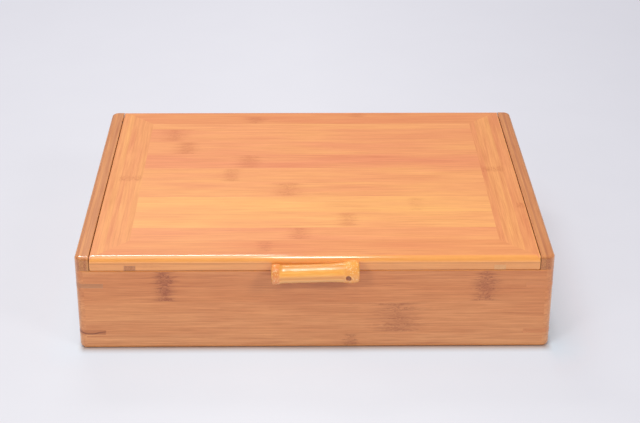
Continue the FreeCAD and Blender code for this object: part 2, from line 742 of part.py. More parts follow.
def check():
    """Stop if any object failed or any sub-part has no sound shape."""
    for item in doc.Objects:
        if {"Invalid", "Error"} & set(item.State):
            raise RuntimeError(f"{item.Label} failed: {item.State}")
    for piece in sub_parts:
        shape = piece.Shape
        if shape.isNull() or not shape.isValid() or len(shape.Solids) != 1:
            raise RuntimeError(f"{piece.Label} isn't one sound solid")


def export():
    """Write each sub-part to a STEP file of its own."""
    os.makedirs("parts", exist_ok=True)
    for piece in sub_parts:
        piece.Shape.exportStep(os.path.join("parts", f"{piece.Label}.step"))
        print(f"{piece.Label}: {piece.Shape.Volume:.0f} mm3")


build()
check()
export()
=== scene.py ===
"""A bamboo tea ceremony box with a framed lid, keyed corners and a pull of bamboo root."""

import logging
import math
from dataclasses import dataclass
from enum import Enum

import bmesh
import bpy
from mathutils import Euler, Matrix, Vector, noise


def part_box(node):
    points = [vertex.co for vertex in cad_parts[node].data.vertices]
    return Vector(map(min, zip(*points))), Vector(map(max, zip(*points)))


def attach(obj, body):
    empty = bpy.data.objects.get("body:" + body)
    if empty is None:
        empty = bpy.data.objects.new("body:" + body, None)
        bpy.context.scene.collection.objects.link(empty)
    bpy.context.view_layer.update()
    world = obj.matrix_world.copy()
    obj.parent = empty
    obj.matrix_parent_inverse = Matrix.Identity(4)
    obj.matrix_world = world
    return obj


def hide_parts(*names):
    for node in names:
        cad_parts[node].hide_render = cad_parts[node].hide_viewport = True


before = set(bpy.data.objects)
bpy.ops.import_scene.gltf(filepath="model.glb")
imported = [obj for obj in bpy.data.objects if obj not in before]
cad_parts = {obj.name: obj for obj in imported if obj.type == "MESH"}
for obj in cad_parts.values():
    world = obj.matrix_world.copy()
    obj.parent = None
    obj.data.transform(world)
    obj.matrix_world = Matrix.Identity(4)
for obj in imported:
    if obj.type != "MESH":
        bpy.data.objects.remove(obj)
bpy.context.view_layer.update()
LOG = logging.getLogger("tea_box")

Socket = bpy.types.NodeSocket
Tree = bpy.types.NodeTree

MM = 0.001

# The inputs and settings of a Mix node that blends colours, and the setting of a MapRange node
# that eases in and out. A MapRange takes a value, its range's two ends and what they turn into.
FACTOR, FROM, TO = 0, 6, 7
BLEND = {"output": 2, "data_type": "RGBA"}
EASED = {"interpolation_type": "SMOOTHSTEP"}

# The strips of the laminated boards, all sawn to one width, in millimetres.
STRIP_PITCH = 25.1

# Streaks of laminated bamboo, as length and width in millimetres and strength: bands of fibres,
# bundles, and single fibres, which are drawn twice as coarse as they are so that they show.
STREAKS = ((90.0, 3.2, 0.2), (45.0, 1.4, 0.36), (18.0, 0.7, 0.3))


class Axis(Enum):
    """An axis of the box: X runs left to right, Y front to back and Z up."""

    X = 0
    Y = 1
    Z = 2


class Side(Enum):
    """The left or the right of the box."""

    LEFT = "left"
    RIGHT = "right"


class End(Enum):
    """The front or the back of the box."""

    FRONT = "front"
    BACK = "back"


class Count(Enum):
    """Which number of a point is meant: that of its strip or that of its ply."""

    STRIP = 1
    PLY = 2


class Shade(Enum):
    """How much paler or deeper a strip is than the middling tone of its board."""

    PALE = 0.34
    LIGHT = 0.2
    FAIR = 0.09
    MIDDLING = 0.0
    DUSKY = -0.12
    DEEP = -0.24


def linear(hex_colour: str) -> tuple[float, float, float, float]:
    """Turn an sRGB hex colour into the linear values that a shader takes.

    Args:
        hex_colour: Six hex digits after a hash sign.

    Returns:
        Linear red, green and blue, and an alpha of one.
    """
    values = []
    for start in (1, 3, 5):
        level = int(hex_colour[start:start + 2], 16) / 255
        values.append(level / 12.92 if level <= 0.04045 else ((level + 0.055) / 1.055) ** 2.4)
    return (values[0], values[1], values[2], 1.0)


def add(tree: Tree, kind: str, inputs: dict | tuple, output: int | str = 0,
        **settings: object) -> Socket | None:
    """Add a node to a tree, with its settings and its links.

    Args:
        tree: The tree that gets the node.
        kind: The node's type, without its "ShaderNode" prefix, and its operation if it has one.
        inputs: Sockets to link or values to set, in the inputs' order or by name or index.
        output: The output to hand on, by name or index.
        settings: The node's own properties.

    Returns:
        The chosen output socket, or None from a material's or world's output node.
    """
    type_name, _, operation = kind.partition(" ")
    node = tree.nodes.new("ShaderNode" + type_name)
    if operation:
        node.operation = operation
    for name, value in settings.items():
        setattr(node, name, value)
    for key, value in inputs.items() if isinstance(inputs, dict) else enumerate(inputs):
        if isinstance(value, Socket):
            tree.links.new(value, node.inputs[key])
        else:
            node.inputs[key].default_value = value
    return node.outputs[output] if node.outputs else None


def per_mark(length: float, width: float) -> tuple[float, float, float]:
    """Scale a pattern so that its marks come out at a real size.

    Args:
        length: Length of a mark along the grain, in millimetres.
        width: Width of a mark, in millimetres.

    Returns:
        Factors along the grain and across it both ways.
    """
    return (1 / length, 1 / width, 1 / width)


def new_material(name: str) -> tuple[bpy.types.Material, Tree]:
    """Make an empty node material.

    Args:
        name: The material's name.

    Returns:
        The material and its node tree.
    """
    material = bpy.data.materials.new(name)
    material.use_nodes = True
    material.node_tree.nodes.clear()
    return material, material.node_tree


def dress_node(node: str, material: bpy.types.Material) -> None:
    """Put a material on every slot of a CAD node.

    Args:
        node: The node's name.
        material: The finish that it gets.
    """
    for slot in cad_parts[node].material_slots:
        slot.material = material
    LOG.info("%s is finished as %s", node, material.name)


@dataclass(frozen=True)
class Knuckle:
    """The scar of a culm's node across one strip, in millimetres.

    Args:
        along: Its place along the grain.
        across: The middle of its strip.
        half_length: How far it feathers out to each side along the grain.
        half_width: Half of what it covers across the strip.
        strength: How dark it is, from 0 to 1.
    """

    along: float
    across: float
    half_length: float = 12.0
    half_width: float = 12.3
    strength: float = 0.6


@dataclass(frozen=True)
class LaminatedBamboo:
    """Pressed bamboo board: planed strips glued side by side, sanded and satin-lacquered.

    It gives the eye long fine streaks along each strip, a step in tone from strip to strip,
    feathered knuckles that stop at a strip's edge, darker dotted end grain, and a soft sheen.
    Sizes and places are in millimetres.

    Args:
        name: What the finish is called.
        grain: The axis that the fibres run along.
        strips: The axis that the strips lie side by side along.
        plies: The axis through the board.
        origin: A seam between two strips.
        ply_origin: An outer face of the board.
        pitch: The width of a strip.
        ply_pitch: The thickness of a ply.
        shades: Shades of the strips from the origin up.
        ply_shades: Shades of the plies' sawn edges from the ply origin up.
        spread: How far the strips differ by chance.
        edge_spread: How far the plies' sawn edges do.
        streaks: How strongly the streaks show.
        knuckles: The knuckles.
        pale: Colour of the palest strips, which are golden.
        deep: Colour of the deepest strips, which are rosier.
        knuckle: Colour of the darkest fibres in a knuckle.
        edge: Colour of the palest sawn edges.
        edge_rosy: Colour of the deepest sawn edges.
        ply_line: How strongly the glue between plies shows, from 0 to 1.
        coat_ior: Refractive index of the lacquer.
        seed: Sets which chance pattern the board gets.
    """

    name: str
    grain: Axis
    strips: Axis
    plies: Axis
    origin: float
    ply_origin: float
    pitch: float = STRIP_PITCH
    ply_pitch: float = 3.35
    shades: tuple[Shade, ...] = ()
    spread: float = 0.12
    streaks: float = 0.5
    knuckles: tuple[Knuckle, ...] = ()
    pale: str = "#FDB66B"
    deep: str = "#EB8E63"
    knuckle: str = "#B14F26"
    edge: str = "#FFAE59"
    edge_rosy: str = "#D2874B"
    edge_spread: float = 0.3
    ply_line: float = 0.0
    coat_ior: float = 1.55
    ply_shades: tuple[Shade, ...] = ()
    seed: float = 0.0

    def numbered(self, tree: Tree) -> tuple[Socket, Socket]:
        """Find where each point lies in the board, and in which strip and ply.

        Args:
            tree: The node tree.

        Returns:
            The place along the grain, across the strips and through the plies, in millimetres,
            and the cell: a seed, the strip's number and the ply's number.
        """
        here = add(tree, "TexCoord", (), "Object")
        scaled = add(tree, "VectorMath SCALE", {0: here, "Scale": 1 / MM})
        parts = add(tree, "SeparateXYZ", (scaled,)).node
        order = (self.grain, self.strips, self.plies)
        place = add(tree, "CombineXYZ", tuple(parts.outputs[axis.value] for axis in order))
        pitches = (0.0, 1 / self.pitch, 1 / self.ply_pitch)
        starts = (self.seed, -self.origin / self.pitch, -self.ply_origin / self.ply_pitch)
        counted = add(tree, "VectorMath MULTIPLY_ADD", (place, pitches, starts))
        return place, add(tree, "VectorMath FLOOR", (counted,))

    def knuckle_masks(self, tree: Tree, place: Socket) -> tuple[Socket, Socket]:
        """Find how strongly a knuckle's feathered stain and its curly core show at each point.

        Args:
            tree: The node tree.
            place: Each point's place in the board.

        Returns:
            Two values from 0 to 1.
        """
        # Some fibres carry the stain on for longer, so its ends are combed in teeth 1.6 mm apart.
        fibres = add(tree, "VectorMath MULTIPLY", (place, per_mark(60.0, 1.6)))
        teeth = add(tree, "TexNoise", {"Vector": fibres, "Scale": 1.0, "Detail": 1.0})
        extra = add(tree, "MapRange", (teeth, 0.3, 0.7, 0.3, -0.3))
        stain = core = 0.0
        for scar in self.knuckles:
            sizes = (1 / scar.half_length, 1 / scar.half_width, 0.0)
            shift = (-scar.along * sizes[0], -scar.across * sizes[1], 0.0)
            local = add(tree, "VectorMath MULTIPLY_ADD", (place, sizes, shift))
            reach = add(tree, "VectorMath ABSOLUTE", (local,))
            parts = add(tree, "SeparateXYZ", (reach,)).node
            combed = add(tree, "Math ADD", (parts.outputs["X"], extra))
            faded = add(tree, "MapRange", (combed, 0.0, 1.0, scar.strength, 0.0), **EASED)
            trimmed = add(tree, "MapRange", (parts.outputs["Y"], 0.9, 1.02, 1.0, 0.0), **EASED)
            one = add(tree, "Math MULTIPLY", (faded, trimmed))
            stain = add(tree, "Math MAXIMUM", (stain, one))
            # The core is about 9 mm long, where the culm's inner wall was.
            solid, gone = 3.0 / scar.half_length, 6.0 / scar.half_length
            near = add(tree, "MapRange", (combed, solid, gone, scar.strength, 0.0))
            one = add(tree, "Math MULTIPLY", (near, trimmed))
            core = add(tree, "Math MAXIMUM", (core, one))
        return stain, core

    def shade(self, tree: Tree, cell: Socket, which: Count, shades: tuple[Shade, ...],
              spread: float) -> Socket:
        """Find how pale each strip or ply is before its streaks.

        Args:
            tree: The node tree.
            cell: Each point's strip and ply.
            which: Whether strips or plies are meant.
            shades: Their shades in order, from number 0.
            spread: How far they differ by chance.

        Returns:
            A value, about 0.5 for a middling one.
        """
        chance = add(tree, "TexWhiteNoise", {"Vector": cell}, "Value", noise_dimensions="3D")
        tone = add(tree, "Math MULTIPLY_ADD", (chance, spread, 0.5 - spread / 2))
        number = add(tree, "SeparateXYZ", (cell,), which.value)
        for index, one in enumerate(shades):
            here = add(tree, "Math COMPARE", (number, float(index), 0.5))
            tone = add(tree, "Math MULTIPLY_ADD", (here, one.value, tone))
        return tone

    def streaked(self, tree: Tree, place: Socket, cell: Socket) -> tuple[Socket, ...]:
        """Colour the broad faces of the strips, with their streaks and knuckles.

        Args:
            tree: The node tree.
            place: Each point's place in the board.
            cell: Its strip and ply.

        Returns:
            The colour, the tint of the streaks, the bundles of fibres and the single fibres.
        """
        stain, core = self.knuckle_masks(tree, place)
        # Fibres swerve by a millimetre or two where they pass a knuckle.
        swerve = add(tree, "TexNoise", {"Vector": place, "Scale": 0.22, "Detail": 1.0}, "Color")
        pushed = add(tree, "VectorMath SUBTRACT", (swerve, (0.5, 0.5, 0.5)))
        amount = add(tree, "Math MULTIPLY_ADD", (stain, 5.0, 0.5))
        bend = add(tree, "VectorMath SCALE", {0: pushed, "Scale": amount})
        fibres = add(tree, "VectorMath ADD", (place, bend))

        # Each strip comes from another part of the culm, so its streaks start somewhere else.
        chance = add(tree, "TexWhiteNoise", {"Vector": cell}, "Color", noise_dimensions="3D")
        start = add(tree, "VectorMath SCALE", {0: chance, "Scale": 90.0})
        tone = self.shade(tree, cell, Count.STRIP, self.shades, self.spread)
        # Patches half a strip wide drift from golden to rosy along the strip.
        there = add(tree, "VectorMath MULTIPLY_ADD", (place, per_mark(70.0, 13.0), start))
        drift = add(tree, "TexNoise", {"Vector": there, "Scale": 1.0, "Detail": 1.0})
        centred = add(tree, "Math SUBTRACT", (drift, 0.5))
        tone = add(tree, "Math MULTIPLY_ADD", (centred, 0.7, tone))
        colour = add(tree, "Mix", {FACTOR: tone, FROM: linear(self.deep), TO: linear(self.pale)},
                     **BLEND)

        grey = 1.0
        streaks = []
        for length, width, share in STREAKS:
            there = add(tree, "VectorMath MULTIPLY_ADD", (fibres, per_mark(length, width), start))
            streak = add(tree, "TexNoise", {"Vector": there, "Scale": 1.0, "Detail": 1.0})
            centred = add(tree, "Math SUBTRACT", (streak, 0.5))
            grey = add(tree, "Math MULTIPLY_ADD", (centred, share * self.streaks, grey))
            streaks.append(centred)
        # A dark fibre loses more green and blue than red.
        tint = add(tree, "CombineXYZ", (grey, grey, grey))
        deeper = add(tree, "VectorMath MULTIPLY_ADD", (tint, (0.6, 1.0, 1.15), (0.4, 0.0, -0.15)))
        colour = add(tree, "VectorMath MULTIPLY", (colour, deeper))

        # A knuckle is dark fibres combed out of a core of brown curls 2 mm across.
        cells = add(tree, "VectorMath MULTIPLY", (place, per_mark(2.1, 1.7)))
        curls = add(tree, "TexNoise", {"Vector": cells, "Scale": 1.0, "Detail": 1.5,
                                       "Distortion": 1.1})
        curled = add(tree, "MapRange", (curls, 0.4, 0.62, 0.1, 1.25))
        curled = add(tree, "Math MULTIPLY", (core, curled), use_clamp=True)
        combed = add(tree, "MapRange", (streaks[2], -0.15, 0.15, 1.0, 0.5))
        combed = add(tree, "Math MULTIPLY", (stain, combed))
        dark = add(tree, "Math MAXIMUM", (curled, combed))
        colour = add(tree, "Mix", {FACTOR: dark, FROM: colour, TO: linear(self.knuckle)}, **BLEND)
        return colour, deeper, streaks[1], streaks[2]

    def sawn(self, tree: Tree, place: Socket, cell: Socket, colour: Socket, deeper: Socket,
             single: Socket) -> Socket:
        """Colour the strips' sawn edges, which are golden, and the board's sawn ends.

        Args:
            tree: The node tree.
            place: Each point's place in the board.
            cell: Its strip and ply.
            colour: Its colour on a broad face.
            deeper: The tint of the streaks.
            single: The single fibres.

        Returns:
            The colour of every face.
        """
        facing = add(tree, "TexCoord", (), "Normal")
        square_on = add(tree, "VectorMath ABSOLUTE", (facing,))
        parts = add(tree, "SeparateXYZ", (square_on,)).node
        side = add(tree, "MapRange", (parts.outputs[self.strips.value], 0.15, 0.5, 0.0, 0.9))
        tone = self.shade(tree, cell, Count.PLY, self.ply_shades, self.edge_spread)
        rosy, gold = linear(self.edge_rosy), linear(self.edge)
        golden = add(tree, "Mix", {FACTOR: tone, FROM: rosy, TO: gold}, **BLEND)
        golden = add(tree, "VectorMath MULTIPLY", (golden, deeper))
        # The glue between two plies shows as a darker line about a millimetre wide.
        through = add(tree, "SeparateXYZ", (place,), "Z")
        pitch = self.ply_pitch
        layer = add(tree, "Math MULTIPLY_ADD", (through, 1 / pitch, -self.ply_origin / pitch))
        off = add(tree, "Math PINGPONG", (layer, 0.5))
        glue = add(tree, "MapRange", (off, 0.2 / pitch, 0.8 / pitch, self.ply_line, 0.0), **EASED)
        glued = add(tree, "VectorMath MULTIPLY", (golden, (0.74, 0.68, 0.6)))
        golden = add(tree, "Mix", {FACTOR: glue, FROM: golden, TO: glued}, **BLEND)
        colour = add(tree, "Mix", {FACTOR: side, FROM: colour, TO: golden}, **BLEND)
        # Sawn across, a board shows the dark ends of its bundles and takes up more lacquer.
        end = add(tree, "MapRange", (parts.outputs[self.grain.value], 0.75, 0.95, 0.0, 1.0))
        speckled = add(tree, "MapRange", (single, -0.2, 0.2, 0.6, 0.86))
        browner = add(tree, "VectorMath MULTIPLY", (colour, (1.0, 0.9, 0.75)))
        soaked = add(tree, "VectorMath SCALE", {0: browner, "Scale": speckled})
        return add(tree, "Mix", {FACTOR: end, FROM: colour, TO: soaked}, **BLEND)

    def material(self) -> bpy.types.Material:
        """Build the finish.

        Returns:
            The material.
        """
        material, tree = new_material(self.name)
        place, cell = self.numbered(tree)
        colour, deeper, bundles, single = self.streaked(tree, place, cell)
        colour = self.sawn(tree, place, cell, colour, deeper, single)
        rough = add(tree, "MapRange", (bundles, -0.25, 0.25, 0.36, 0.46))
        bump = add(tree, "Bump", {"Height": bundles, "Strength": 0.2, "Distance": 0.05 * MM})
        # The lacquer fills the wood's pores, so nearly all of the sheen comes from its own surface.
        shader = add(tree, "BsdfPrincipled", {
            "Base Color": colour, "Roughness": rough, "IOR": 1.5, "Specular IOR Level": 0.12,
            "Coat Weight": 1.0, "Coat Roughness": 0.09, "Coat IOR": self.coat_ior, "Normal": bump,
        })
        add(tree, "OutputMaterial", {"Surface": shader})
        return material


@dataclass(frozen=True)
class TightBamboo:
    """Tight-grained bamboo of keys, battens, splines, pins and dowels, flush-sanded, lacquered.

    It gives the eye a small dull patch, mostly darker and greyer than the board, with fine lines.
    Some keys have a dark split, at a height in metres, that swings up and down. The other sizes
    are in millimetres.
    """

    name: str
    body: str
    line: str
    grain: Axis = Axis.X
    split: float | None = None
    split_colour: str = "#6B3520"
    split_swing: float = 5.0
    split_run: float = 9.0
    fibre_width: float = 0.9
    fibre_length: float = 14.0

    def material(self) -> bpy.types.Material:
        """Build the finish.

        Returns:
            The material.
        """
        material, tree = new_material(self.name)
        here = add(tree, "TexCoord", (), "Object")
        sizes = [1 / (self.fibre_width * MM)] * 3
        sizes[self.grain.value] = 1 / (self.fibre_length * MM)
        fibres = add(tree, "VectorMath MULTIPLY", (here, tuple(sizes)))
        lines = add(tree, "TexNoise", {"Vector": fibres, "Scale": 1.0, "Detail": 2.0})
        share = add(tree, "MapRange", (lines, 0.35, 0.65, 0.0, 1.0))
        colour = add(tree, "Mix", {FACTOR: share, FROM: linear(self.line), TO: linear(self.body)},
                     **BLEND)
        if self.split is not None:
            parts = add(tree, "SeparateXYZ", (here,)).node
            run = 1 / (self.split_run * MM)
            along = add(tree, "VectorMath MULTIPLY", (here, (run, run, 0.0)))
            swing = add(tree, "TexNoise", {"Vector": along, "Scale": 1.0, "Detail": 1.0})
            reach = self.split_swing * MM
            height = add(tree, "Math MULTIPLY_ADD", (swing, -reach, reach / 2 - self.split))
            off = add(tree, "Math ADD", (parts.outputs["Z"], height))
            off = add(tree, "Math ABSOLUTE", (off,))
            dark = add(tree, "MapRange", (off, 0.15 * MM, 0.75 * MM, 0.65, 0.0), **EASED)
            colour = add(tree, "Mix", {FACTOR: dark, FROM: colour, TO: linear(self.split_colour)},
                         **BLEND)
        shader = add(tree, "BsdfPrincipled", {
            "Base Color": colour, "Roughness": 0.45, "IOR": 1.5, "Coat Weight": 0.3,
            "Coat Roughness": 0.2,
        })
        add(tree, "OutputMaterial", {"Surface": shader})
        return material


@dataclass
class Carcass:
    """The four keyed walls and the bottom board of the box.

    Sizes are in millimetres: a seam between two strips and a face, for each board's finish.
    """

    front_seam: float = -13.5
    front_face: float = -121.2
    back_seam: float = 11.6
    back_face: float = 124.8
    side_seam: float = 22.0
    left_face: float = -165.0
    right_face: float = 155.0
    bottom_seam: float = -1.4
    bottom_face: float = 4.0

    def front_finish(self) -> LaminatedBamboo:
        """Describe the front board, with two feathered knuckles high up and two lower down.

        Returns:
            Its finish.
        """
        return LaminatedBamboo(
            "laminated_bamboo_front", Axis.X, Axis.Z, Axis.Y, self.front_seam, self.front_face,
            streaks=1.7, spread=0.04, shades=(Shade.LIGHT, Shade.MIDDLING, Shade.DEEP), seed=3.0,
            # Its colours, the knuckles' too, are darker than the same bamboo on the lid and the
            # back: partly the board's own deeper tone, partly painted shade for an upright face
            # that the light from above misses.
            pale="#DD965F", deep="#CE7D47", knuckle="#8C4428",
            knuckles=(
                Knuckle(-104, 49.2, 10, 12.0, 0.62),
                Knuckle(118, 49.2, 12, 12.2, 0.55),
                Knuckle(58.5, 24.2, 24, 12.2, 0.4),
                Knuckle(25, 6.0, 8, 5.4, 0.35),
            ),
        )

    def back_finish(self) -> LaminatedBamboo:
        """Describe the back board.

        Returns:
            Its finish.
        """
        return LaminatedBamboo(
            "laminated_bamboo_back", Axis.X, Axis.Z, Axis.Y, self.back_seam, self.back_face,
            streaks=1.3, seed=8.0, shades=(Shade.DUSKY, Shade.MIDDLING, Shade.DUSKY),
            knuckles=(Knuckle(-72, 49.2, 14, strength=0.6), Knuckle(40, 24.2, 16, strength=0.4),
                      Knuckle(131, 49.2, 12, strength=0.5)),
        )

    def side_finish(self, side: Side, face: float, seed: float,
                    plies: tuple[Shade, ...]) -> LaminatedBamboo:
        """A side board's finish, whose top shows the edges of six thin plies.

        Args:
            side: Which side board it is.
            face: The board's left face on the X axis, in millimetres.
            seed: Sets the board's chance pattern.
            plies: Shades of the plies from left to right.

        Returns:
            The finish.
        """
        return LaminatedBamboo(
            f"laminated_bamboo_{side.value}_side", Axis.Y, Axis.Z, Axis.X, self.side_seam, face,
            spread=0.5, streaks=1.3, seed=seed, pale="#E3A164", deep="#C67A50", edge="#E59A5E",
            edge_rosy="#BA734E", edge_spread=0.35, ply_pitch=1.67, ply_shades=plies,
            knuckles=(Knuckle(87, 59.6, 9, 12.5, 0.35), Knuckle(-36, 34.5, 13, strength=0.5),
                      Knuckle(50, 9.4, 12, strength=0.45)),
        )

    def dress(self) -> None:
        """Finish every piece of the carcass."""
        dress_node("front_panel", self.front_finish().material())
        dress_node("back_panel", self.back_finish().material())
        plies = (Shade.PALE, Shade.FAIR, Shade.LIGHT, Shade.DUSKY, Shade.FAIR, Shade.MIDDLING)
        left = self.side_finish(Side.LEFT, self.left_face, 12.0, plies)
        right = self.side_finish(Side.RIGHT, self.right_face, 27.0, plies[::-1])
        dress_node("left_side_panel", left.material())
        dress_node("right_side_panel", right.material())
        bottom = LaminatedBamboo(
            "laminated_bamboo_bottom", Axis.X, Axis.Y, Axis.Z, self.bottom_seam,
            self.bottom_face, seed=31.0, knuckles=(
                Knuckle(-80, 61.3, 12, strength=0.5), Knuckle(60, 11.1, 14, strength=0.55),
                Knuckle(-20, -64.2, 12, strength=0.5),
            ),
        )
        dress_node("bottom_panel", bottom.material())
        grey = TightBamboo("grey_key_bamboo", "#C4855A", "#BB7C52").material()
        lowest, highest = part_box("front_left_lower_key")
        split = (lowest[2] + highest[2]) / 2
        brown = TightBamboo("split_key_bamboo", "#CA7E4D", "#B66E42", split=split).material()
        faint = TightBamboo("plain_key_bamboo", "#D98A56", "#CE824F").material()
        for end in End:
            dress_node(f"{end.value}_left_upper_key", grey)
            dress_node(f"{end.value}_left_lower_key", brown)
            dress_node(f"{end.value}_right_upper_key", faint)
            dress_node(f"{end.value}_right_lower_key", faint)
        rod = TightBamboo("bamboo_rod_pin", "#B9794E", "#7E4A2D").material()
        for side in Side:
            dress_node(f"{side.value}_pivot_pin", rod)


@dataclass
class Lid:
    """The framed lid with its flush panel, battens and splines.

    Sizes are in millimetres: seams between strips, lower faces, and widths of strips and plies.
    """

    panel_seam: float = -101.8
    panel_face: float = 66.0
    frame_face: float = 62.0
    rail_seam: float = -500.0
    rail_strip: float = 2000.0
    rail_ply: float = 5.6
    stile_seam: float = 129.0
    stile_strip: float = 4.1
    stile_ply: float = 12.0

    def panel_finish(self) -> LaminatedBamboo:
        """Describe the panel's eight strips, each of another shade and with one knuckle.

        Returns:
            Its finish.
        """
        return LaminatedBamboo(
            "laminated_bamboo_lid_panel", Axis.X, Axis.Y, Axis.Z, self.panel_seam,
            self.panel_face, streaks=1.0, spread=0.02, seed=5.0,
            shades=(Shade.DUSKY, Shade.LIGHT, Shade.PALE, Shade.MIDDLING, Shade.MIDDLING,
                    Shade.DEEP, Shade.DUSKY, Shade.DUSKY, Shade.MIDDLING),
            knuckles=(
                Knuckle(-110, 86.5, 16, 12.0, 0.28),
                Knuckle(-99, 61.4, 14, 11.5, 0.31),
                Knuckle(-49, 36.3, 15, 11.8, 0.29),
                Knuckle(-62, 11.1, 9, 11.5, 0.24),
                Knuckle(-19, -14.0, 16, 11.5, 0.29),
                Knuckle(75, -39.1, 9, 11.0, 0.14),
                Knuckle(24, -64.2, 10, 11.0, 0.24),
                Knuckle(-11, -86.0, 12, 9.0, 0.28),
            ),
        )

    def rail_finish(self, end: End, knuckles: tuple[Knuckle, ...], seed: float) -> LaminatedBamboo:
        """A rail's finish: one strip wide, laid like the panel.

        Args:
            end: Which rail it is.
            knuckles: The rail's knuckles.
            seed: Sets the rail's chance pattern.

        Returns:
            The finish.
        """
        return LaminatedBamboo(
            f"laminated_bamboo_{end.value}_rail", Axis.X, Axis.Y, Axis.Z, self.rail_seam,
            self.frame_face, pitch=self.rail_strip, ply_pitch=self.rail_ply,
            # The upper ply's sawn edges are a pale shade: painted light for the top of each rail's
            # front and back, where the rounded edge catches more light.
            ply_shades=(Shade.MIDDLING, Shade.PALE), streaks=0.9, ply_line=0.8, coat_ior=1.75,
            seed=seed, shades=(Shade.DEEP,), knuckles=knuckles, deep="#EB8E5B",
        )

    def stile_finish(self, side: Side, seam: float, knuckles: tuple[Knuckle, ...],
                     seed: float) -> LaminatedBamboo:
        """A stile's finish: narrow strips on edge, so that its top is finely lined.

        Args:
            side: Which stile it is.
            seam: A seam between two strips on the X axis, in millimetres.
            knuckles: The stile's knuckles.
            seed: Sets the stile's chance pattern.

        Returns:
            The finish.
        """
        return LaminatedBamboo(
            f"laminated_bamboo_{side.value}_stile", Axis.Y, Axis.X, Axis.Z, seam, self.frame_face,
            pitch=self.stile_strip, ply_pitch=self.stile_ply, streaks=1.2, spread=0.4, seed=seed,
            knuckles=knuckles, pale="#F8B066", deep="#E5885C",
        )

    def dress(self) -> None:
        """Finish every piece of the lid but the pull."""
        dress_node("lid_panel", self.panel_finish().material())
        front = (Knuckle(-35, -105, 8, 8, 0.22), Knuckle(-113, -124, 8, 4, 0.3))
        back = (Knuckle(-46, 117, 12, 7, 0.28), Knuckle(38, 127, 9, 4, 0.25))
        dress_node("lid_front_rail", self.rail_finish(End.FRONT, front, 2.0).material())
        dress_node("lid_back_rail", self.rail_finish(End.BACK, back, 9.0).material())
        left = (Knuckle(6, -138, 4, 9, 0.25),)
        right = (Knuckle(21, 137, 4, 9, 0.25), Knuckle(-42, 151, 6, 3, 0.25))
        left_finish = self.stile_finish(Side.LEFT, -self.stile_seam, left, 14.0)
        right_finish = self.stile_finish(Side.RIGHT, self.stile_seam, right, 21.0)
        dress_node("lid_left_stile", left_finish.material())
        dress_node("lid_right_stile", right_finish.material())
        shadowed = TightBamboo("grey_batten_bamboo", "#C88455", "#B47246", Axis.Y).material()
        plain = TightBamboo("plain_batten_bamboo", "#E3A76E", "#DB9D66", Axis.Y).material()
        dress_node("lid_left_batten", shadowed)
        dress_node("lid_right_batten", plain)
        bare = TightBamboo("bare_spline_bamboo", "#D8A878", "#C08A5C").material()
        for end in End:
            for side in Side:
                dress_node(f"lid_{end.value}_{side.value}_spline", bare)
        rod = TightBamboo("bamboo_rod_dowel", "#C98F62", "#A8704A", Axis.Y).material()
        for side in Side:
            dress_node(f"{side.value}_pull_dowel", rod)


